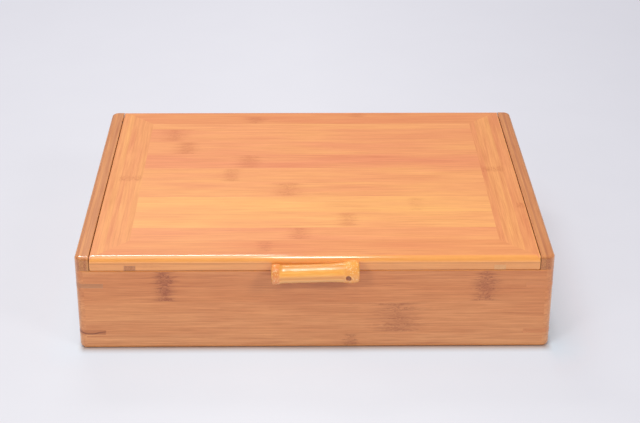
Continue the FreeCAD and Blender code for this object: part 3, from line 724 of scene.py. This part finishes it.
@dataclass(frozen=True)
class PolishedRoot:
    """Bamboo root, scraped, polished and lacquered: a hard golden rind with rings of root scars.

    It gives the eye a sharp long glint on smooth yellow rind, a darker streak with a tan one below
    it, and rough pinkish rings dotted with pale scars. Sizes and places are in millimetres, and
    heights are those at the middle of the pull.

    Args:
        left_ring: Middle of the left ring on the X axis.
        right_ring: Middle of the right ring on the X axis.
        scar: The open root scar's place on the X and Z axes.
        scar_radius: The open root scar's radius.
        reaches: How far the left and the right ring reach to each side.
        climb: How much the root rises for each millimetre to the right.
        streak_height: Height of the darker streak.
        tan_height: Height of the tan streak.
        top: Heights between which the rind is painted a darker tan, as painted shade on its top.
        worn: Heights between which the lacquer wears thin.
    """

    left_ring: float
    right_ring: float
    scar: tuple[float, float]
    scar_radius: float
    reaches: tuple[float, float] = (3.2, 6.5)
    climb: float = 0.032
    streak_height: float = 62.1
    tan_height: float = 59.1
    top: tuple[float, float] = (66.6, 68.6)
    worn: tuple[float, float] = (68.3, 68.8)

    def material(self) -> bpy.types.Material:
        """Build the finish.

        Returns:
            The material.
        """
        material, tree = new_material("polished_bamboo_root")
        here = add(tree, "TexCoord", (), "Object")
        place = add(tree, "VectorMath SCALE", {0: here, "Scale": 1 / MM})
        parts = add(tree, "SeparateXYZ", (place,)).node
        across, up = parts.outputs["X"], parts.outputs["Z"]
        # Faint fibres 0.7 mm wide and 25 mm long under the rind.
        fibres = add(tree, "VectorMath MULTIPLY", (place, per_mark(25.0, 0.7)))
        lines = add(tree, "TexNoise", {"Vector": fibres, "Scale": 1.0, "Detail": 2.0})
        share = add(tree, "MapRange", (lines, 0.3, 0.7, 0.0, 1.0))
        colour = add(tree, "Mix", {FACTOR: share, FROM: linear("#FCA548"), TO: linear("#FFC064")},
                     **BLEND)
        level = add(tree, "Math MULTIPLY_ADD", (across, -self.climb, up))
        # Along its top the rind is painted a darker tan: painted shade that tones down the light
        # from above.
        top = add(tree, "MapRange", (level, *self.top, 0.0, 0.9))
        colour = add(tree, "Mix", {FACTOR: top, FROM: colour, TO: linear("#E3974A")}, **BLEND)
        bands = ((self.streak_height, 0.75, "#D88C46"), (self.tan_height, 0.6, "#E3A968"))
        for height, most, tint in bands:
            drop = add(tree, "Math SUBTRACT", (level, height))
            off = add(tree, "Math ABSOLUTE", (drop,))
            band = add(tree, "MapRange", (off, 0.3, 2.0, most, 0.0), **EASED)
            colour = add(tree, "Mix", {FACTOR: band, FROM: colour, TO: linear(tint)}, **BLEND)

        # The rings are rougher and rosier, with pale dots two thirds of a millimetre across.
        dots = add(tree, "TexVoronoi", {"Vector": place, "Scale": 0.75}, "Distance")
        dot = add(tree, "MapRange", (dots, 0.14, 0.36, 1.0, 0.0), **EASED)
        rings = 0.0
        for middle, reach, tint in ((self.left_ring, self.reaches[0], "#EA914C"),
                                    (self.right_ring, self.reaches[1], "#F6A650")):
            away = add(tree, "Math SUBTRACT", (across, middle))
            far = add(tree, "Math ABSOLUTE", (away,))
            ring = add(tree, "MapRange", (far, 0.55 * reach, reach, 1.0, 0.0), **EASED)
            tinted = add(tree, "Mix", {FACTOR: dot, FROM: linear(tint), TO: linear("#FFD291")},
                         **BLEND)
            colour = add(tree, "Mix", {FACTOR: ring, FROM: colour, TO: tinted}, **BLEND)
            rings = add(tree, "Math MAXIMUM", (rings, ring))

        # The open scar is brown all the way down.
        centre = (self.scar[0], 0.0, self.scar[1])
        local = add(tree, "VectorMath SUBTRACT", (place, centre))
        flat = add(tree, "VectorMath MULTIPLY", (local, (1.0, 0.0, 1.0)))
        away = add(tree, "VectorMath LENGTH", (flat,), "Value")
        rim = (0.9 * self.scar_radius, 1.35 * self.scar_radius)
        hole = add(tree, "MapRange", (away, *rim, 1.0, 0.0), **EASED)
        colour = add(tree, "Mix", {FACTOR: hole, FROM: colour, TO: linear("#B06A40")}, **BLEND)

        rough = add(tree, "MapRange", (rings, 0.0, 1.0, 0.2, 0.42))
        # The lacquer is worn thin along the top, where fingers lift the lid.
        coat = add(tree, "MapRange", (level, *self.worn, 1.0, 0.1))
        ridges = add(tree, "Math MULTIPLY", (dot, rings))
        bump = add(tree, "Bump", {"Height": ridges, "Strength": 0.5, "Distance": 0.15 * MM})
        shader = add(tree, "BsdfPrincipled", {
            "Base Color": colour, "Roughness": rough, "IOR": 1.5, "Specular IOR Level": 0.12,
            "Coat Weight": coat, "Coat IOR": 1.7, "Coat Roughness": 0.2, "Normal": bump,
        })
        add(tree, "OutputMaterial", {"Surface": shader})
        return material


@dataclass
class RootPull:
    """The pull: a length of bamboo root with a ring of root scars near each end.

    Sizes are in millimetres. The outline gives the root's radius at distances from its left end,
    and each row is a ring of small scars at a distance from there.
    """

    length: float = 60.0
    axis_y: float = -126.7
    back_y: float = -121.7
    left_axis_z: float = 61.7
    right_axis_z: float = 63.6
    outline: tuple[tuple[float, float], ...] = (
        (0.0, 5.9), (0.5, 6.6), (1.4, 6.95), (3.2, 7.2), (5.0, 6.95), (7.4, 6.55), (12.0, 6.45),
        (28.0, 6.4), (42.0, 6.6), (48.0, 6.95), (52.0, 7.5), (54.5, 7.82), (57.0, 7.6),
        (58.9, 7.3), (59.6, 6.9), (60.0, 6.3),
    )
    sag: float = 0.1
    unevenness: float = 0.12
    left_ring: float = 3.0
    right_ring: float = 54.5
    rows: tuple[float, ...] = (1.9, 3.5, 5.1, 50.6, 52.6, 54.6, 56.6, 58.3)
    row_radius: float = 7.2
    row_scars: int = 19
    row_height: float = 0.22
    row_spread: float = 0.42
    row_reach: float = 1.5
    scar_along: float = 52.5
    scar_z: float = 62.3
    scar_radius: float = 1.8
    scar_depth: float = 1.3
    rim_height: float = 0.18
    rim_reach: float = 1.6
    segments: int = 132
    cuts: int = 170

    def radius_at(self, along: float) -> float:
        """Blend smoothly between the points of the outline.

        Args:
            along: Distance from the left end in millimetres.

        Returns:
            The root's radius there.
        """
        points = self.outline
        at = max(i for i in range(len(points) - 1) if points[i][0] <= along + 1e-6)
        before, start = points[max(at - 1, 0)], points[at]
        stop, after = points[at + 1], points[min(at + 2, len(points) - 1)]
        span = stop[0] - start[0]
        share = min(max((along - start[0]) / span, 0.0), 1.0)
        leave = span * (stop[1] - before[1]) / (stop[0] - before[0])
        arrive = span * (after[1] - start[1]) / (after[0] - start[0])
        square, cube = share ** 2, share ** 3
        return ((2 * cube - 3 * square + 1) * start[1] + (cube - 2 * square + share) * leave
                + (3 * square - 2 * cube) * stop[1] + (cube - square) * arrive)

    def relief(self, along: float, angle: float) -> float:
        """Height of the small root scars, and of the root's slight unevenness.

        Args:
            along: Distance from the left end in millimetres.
            angle: Direction round the axis in radians.

        Returns:
            Height above the outline in millimetres.
        """
        height = 0.0
        for number, row in enumerate(self.rows):
            if abs(along - row) > self.row_reach:
                continue
            turn = angle / math.tau * self.row_scars + 0.5 * (number % 2)
            arc = ((turn % 1.0) - 0.5) * math.tau * self.row_radius / self.row_scars
            # No two scars are quite the same height.
            size = 0.7 + 0.6 * noise.noise(Vector((number * 3.1, math.floor(turn) * 1.7, 0.5)))
            away = (along - row) ** 2 + arc ** 2
            height += self.row_height * size * math.exp(-away / (2 * self.row_spread ** 2))
        # The root swells and narrows a little every 6 mm, and stays just inside its outline.
        spot = Vector((along * 0.16, math.cos(angle) * 0.8, math.sin(angle) * 0.8))
        return height + self.unevenness * noise.noise(spot) - 0.1

    def shape(self, bm: bmesh.types.BMesh) -> None:
        """Move the rings of a plain cylinder along X out to the root's surface.

        Args:
            bm: A cylinder of unit radius from 0 to the root's length along X.
        """
        for vert in bm.verts:
            along = min(max(vert.co.x, 0.0), self.length)
            angle = math.atan2(vert.co.z, vert.co.y)
            reach = self.radius_at(along) + self.relief(along, angle)
            rise = self.left_axis_z + (self.right_axis_z - self.left_axis_z) * along / self.length
            sag = self.sag * math.sin(math.pi * along / self.length)
            vert.co = Vector((along - self.length / 2, self.axis_y + reach * math.cos(angle),
                              rise - sag + reach * math.sin(angle)))

    def sink_scar(self, bm: bmesh.types.BMesh) -> None:
        """Press the open root scar into the root's front, with a slightly raised rim.

        Args:
            bm: The shaped root.
        """
        centre_x = self.scar_along - self.length / 2
        for vert in bm.verts:
            if vert.co.y > self.axis_y:
                continue
            away = math.hypot(vert.co.x - centre_x, vert.co.z - self.scar_z) / self.scar_radius
            if away < 1.0:
                vert.co.y += self.scar_depth * (1 - away ** 4)
            elif away < self.rim_reach:
                share = (away - 1.0) / (self.rim_reach - 1.0)
                vert.co.y -= self.rim_height * math.sin(math.pi * share)

    def build(self) -> bpy.types.Object:
        """Make the root from a cylinder and plane its back flat.

        Returns:
            The finished piece.
        """
        bm = bmesh.new()
        bmesh.ops.create_cone(bm, cap_ends=True, segments=self.segments, radius1=1.0, radius2=1.0,
                              depth=self.length)
        turn = Matrix.Rotation(math.radians(90), 4, "Y")
        bmesh.ops.transform(bm, matrix=Matrix.Translation((self.length / 2, 0, 0)) @ turn,
                            verts=bm.verts)
        lengths = [e for e in bm.edges if abs(e.verts[0].co.x - e.verts[1].co.x) > 1.0]
        bmesh.ops.subdivide_edges(bm, edges=lengths, cuts=self.cuts, use_grid_fill=True)
        self.shape(bm)
        self.sink_scar(bm)
        cut = bmesh.ops.bisect_plane(bm, geom=bm.verts[:] + bm.edges[:] + bm.faces[:], dist=1e-5,
                                     plane_co=(0, self.back_y, 0), plane_no=(0, 1, 0),
                                     clear_outer=True)
        rim = [item for item in cut["geom_cut"] if isinstance(item, bmesh.types.BMEdge)]
        bmesh.ops.holes_fill(bm, edges=rim)
        bmesh.ops.remove_doubles(bm, verts=bm.verts, dist=1e-4)
        bmesh.ops.recalc_face_normals(bm, faces=bm.faces)
        bmesh.ops.scale(bm, vec=(MM, MM, MM), verts=bm.verts)
        mesh = bpy.data.meshes.new("bamboo_root_pull")
        bm.to_mesh(mesh)
        bm.free()
        mesh.shade_smooth()
        mesh.set_sharp_from_angle(angle=math.radians(50))
        piece = bpy.data.objects.new("bamboo_root_pull", mesh)
        bpy.context.scene.collection.objects.link(piece)
        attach(piece, "lid")
        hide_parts("root_pull")
        LOG.info("bamboo_root_pull has %d faces", len(mesh.polygons))
        return piece

    def dress(self, piece: bpy.types.Object) -> None:
        """Give the pull its polished rind.

        Args:
            piece: The built pull.
        """
        left = -self.length / 2
        finish = PolishedRoot(left + self.left_ring, left + self.right_ring,
                              (left + self.scar_along, self.scar_z), self.scar_radius)
        piece.data.materials.append(finish.material())


@dataclass(frozen=True)
class SoftBox:
    """An oblong studio light, in metres and watts, that faces a point on the box.

    With its glare off, it lights surfaces but does not show in glossy ones.
    """

    name: str
    place: tuple[float, float, float]
    width: float
    height: float
    watts: float
    target: tuple[float, float, float] = (0.0, 0.0, 0.04)
    glare: bool = True

    def build(self) -> None:
        """Hang the light and turn it to its target."""
        data = bpy.data.lights.new(self.name, "AREA")
        data.shape = "RECTANGLE"
        data.size = self.width
        data.size_y = self.height
        data.energy = self.watts
        lamp = bpy.data.objects.new(self.name, data)
        lamp.location = self.place
        lamp.visible_glossy = self.glare
        aim = Vector(self.target) - Vector(self.place)
        lamp.rotation_euler = aim.to_track_quat("-Z", "Y").to_euler()
        bpy.context.scene.collection.objects.link(lamp)


@dataclass(frozen=True)
class BackdropPaper:
    """Matt seamless backdrop paper, uncoated, in a pale cool grey.

    It gives the eye a ground without shine, which darkens where the box shades it. Towards the
    far end and the sides it is painted greyer, as painted falloff of the light. Next to the box
    a painted cool tint offsets the warm light that the box throws there, and at the foot of its
    front and back a painted contact shade darkens it. Sizes are in metres: the middle and half
    of the footprint, and how far out its corners begin and end.
    """

    near: str = "#EFEEF3"
    far: str = "#E3E2EA"
    edge: str = "#D5D4DD"
    painted_cool_tint: str = "#E1EFFA"
    painted_contact_shade: str = "#BDABA1"
    middle: tuple[float, float, float] = (0.0, 0.0068, 0.0)
    half: tuple[float, float, float] = (0.165, 0.128, 0.0)
    corner: tuple[float, float] = (0.162, 0.168)

    def material(self) -> bpy.types.Material:
        """Build the finish.

        Returns:
            The material.
        """
        material, tree = new_material("matt_backdrop_paper")
        here = add(tree, "TexCoord", (), "Object")
        # Paper pulp clouds a few centimetres across, hardly to be seen.
        clouds = add(tree, "TexNoise", {"Vector": here, "Scale": 18.0, "Detail": 3.0})
        share = add(tree, "MapRange", (clouds, 0.3, 0.7, 0.0, 1.0))
        parts = add(tree, "SeparateXYZ", (here,)).node
        x, y = parts.outputs["X"], parts.outputs["Y"]
        # Towards the far end and the sides the paper is painted greyer: painted falloff of the
        # light.
        far = add(tree, "MapRange", (y, -0.35, 0.7, 0.0, 1.0))
        left = add(tree, "MapRange", (x, -0.05, -0.35, 0.0, 0.35))
        right = add(tree, "MapRange", (x, 0.0, 0.4, 0.0, 0.8))
        painted_side_falloff = add(tree, "Math ADD", (left, right))
        greyer = add(tree, "Math MULTIPLY_ADD", (share, 0.06, painted_side_falloff), use_clamp=True)
        colour = add(tree, "Mix", {FACTOR: far, FROM: linear(self.near), TO: linear(self.far)},
                     **BLEND)
        colour = add(tree, "Mix", {FACTOR: greyer, FROM: colour, TO: linear(self.edge)}, **BLEND)
        # Far from the box, where the lights fall off, the paper looks as pale as it is.
        glow = add(tree, "Emission", (colour, 1.0))
        outside = add(tree, "VectorMath SUBTRACT", (here, self.middle))
        outside = add(tree, "VectorMath ABSOLUTE", (outside,))
        outside = add(tree, "VectorMath SUBTRACT", (outside, self.half))
        outside = add(tree, "VectorMath MAXIMUM", (outside, (0.0, 0.0, 0.0)))
        reach = add(tree, "VectorMath LENGTH", (outside,), "Value")
        depth = add(tree, "MapRange", (reach, 0.2, 1.0, 0.2, 0.0), **EASED)
        # The shadow is deep for 9 mm in front of the box and behind, and for 50 mm on the right.
        across = add(tree, "Math ABSOLUTE", (x,))
        ahead = add(tree, "MapRange", (across, *self.corner, 1.0, 0.0))
        touching = add(tree, "MapRange", (reach, 0.0, 0.009, 0.8, 0.0))
        depth = add(tree, "Math MULTIPLY_ADD", (touching, ahead, depth))
        along = add(tree, "MapRange", (reach, 0.0, 0.05, 0.6, 0.0))
        beyond = add(tree, "MapRange", (x, *self.corner, 0.0, 1.0))
        depth = add(tree, "Math MULTIPLY_ADD", (along, beyond, depth), use_clamp=True)
        # Next to the box the paper gets a painted cool tint, which offsets the warm light that the
        # box throws there.
        painted_cool_tint = add(tree, "MapRange", (reach, 0.004, 0.03, 1.0, 0.0))
        paper_with_painted_tints = add(tree, "Mix", {FACTOR: painted_cool_tint, FROM: colour, TO: linear(self.painted_cool_tint)}, **BLEND)
        # At the foot of the box's front and back, within 8 mm, the paper is darkened by a painted
        # contact shade.
        painted_contact_shade = add(tree, "MapRange", (reach, 0.0, 0.008, 1.0, 0.0))
        painted_contact_shade = add(tree, "Math MULTIPLY", (painted_contact_shade, ahead))
        paper_with_painted_tints = add(tree, "Mix", {FACTOR: painted_contact_shade, FROM: paper_with_painted_tints, TO: linear(self.painted_contact_shade)},
                     **BLEND)
        paper = add(tree, "BsdfDiffuse", (paper_with_painted_tints,))
        thin = add(tree, "MixShader", (depth, glow, paper))
        rays = add(tree, "LightPath", ()).node.outputs
        seen = add(tree, "Math MAXIMUM", (rays["Is Camera Ray"], rays["Is Glossy Ray"]))
        seen = add(tree, "Math MAXIMUM", (seen, rays["Is Transmission Ray"]))
        look = add(tree, "MixShader", (seen, paper, thin))
        add(tree, "OutputMaterial", {"Surface": look})
        return material


@dataclass
class Studio:
    """The paper floor, the soft lights and the camera.

    Places and sizes are in metres, angles in degrees, and the lens and sensor in millimetres.
    """

    floor_size: float = 8.0
    sky_colour: str = "#F4F4FA"
    sky_strength: float = 0.18
    camera_place: tuple[float, float, float] = (-0.01316, -1.04424, 0.56701)
    pitch_down: float = 26.494
    turn_right: float = 1.008
    roll: float = 0.279
    focal_length: float = 86.23
    sensor_width: float = 36.0
    sight: float = 50.0

    def lay_floor(self) -> None:
        """Roll out the matt paper that the box stands on."""
        bm = bmesh.new()
        bmesh.ops.create_grid(bm, x_segments=1, y_segments=1, size=self.floor_size / 2)
        mesh = bpy.data.meshes.new("paper_floor")
        bm.to_mesh(mesh)
        bm.free()
        floor = bpy.data.objects.new("paper_floor", mesh)
        bpy.context.scene.collection.objects.link(floor)
        mesh.materials.append(BackdropPaper().material())

    def light(self) -> None:
        """Hang the lights and fill the room with a little light from all sides."""
        left, right = (-0.92, -1.15, 0.88), (0.98, -0.93, 1.02)
        for box in (
            SoftBox("top_soft_box", (-0.45, -0.05, 1.45), 1.4, 1.2, 7.6),
            SoftBox("back_soft_box", (-0.29, 0.84, 0.96), 0.52, 0.2, 6.6),
            SoftBox("pull_soft_box", (0.016, -0.44, 1.4), 0.14, 0.6, 3.0),
            # Less than a quarter of the side lights' power shows in the lacquer, as a soft sheen.
            SoftBox("left_soft_box", left, 0.45, 0.45, 5.6, glare=False),
            SoftBox("left_sheen_box", left, 0.45, 0.45, 1.8),
            SoftBox("right_soft_box", right, 0.45, 0.45, 7.9, glare=False),
            SoftBox("right_sheen_box", right, 0.45, 0.45, 2.0),
        ):
            box.build()
        world = bpy.data.worlds.new("studio_room")
        world.use_nodes = True
        tree = world.node_tree
        tree.nodes.clear()
        sky = add(tree, "Background", (linear(self.sky_colour), self.sky_strength))
        add(tree, "OutputWorld", {"Surface": sky})
        bpy.context.scene.world = world

    def set_camera(self) -> None:
        """Stand the camera in front of the box, above it and a touch to its left."""
        data = bpy.data.cameras.new("camera")
        data.sensor_width = self.sensor_width
        data.lens = self.focal_length
        data.clip_end = self.sight
        camera = bpy.data.objects.new("camera", data)
        upright = Euler((math.radians(90 - self.pitch_down), 0, math.radians(-self.turn_right)))
        lean = Matrix.Rotation(math.radians(self.roll), 4, "Z")
        place = Matrix.Translation(self.camera_place)
        camera.matrix_world = place @ upright.to_matrix().to_4x4() @ lean
        bpy.context.scene.collection.objects.link(camera)
        bpy.context.scene.camera = camera

    def build(self) -> None:
        """Set up the floor, the lights and the camera."""
        self.lay_floor()
        self.light()
        self.set_camera()
        bpy.context.scene.view_settings.view_transform = "Standard"


def main() -> None:
    """Dress the carcass and the lid, make the pull and set up the studio."""
    logging.basicConfig(level=logging.INFO, format="%(message)s")
    Carcass().dress()
    Lid().dress()
    pull = RootPull()
    pull.dress(pull.build())
    Studio().build()


if __name__ == "__main__":
    main()
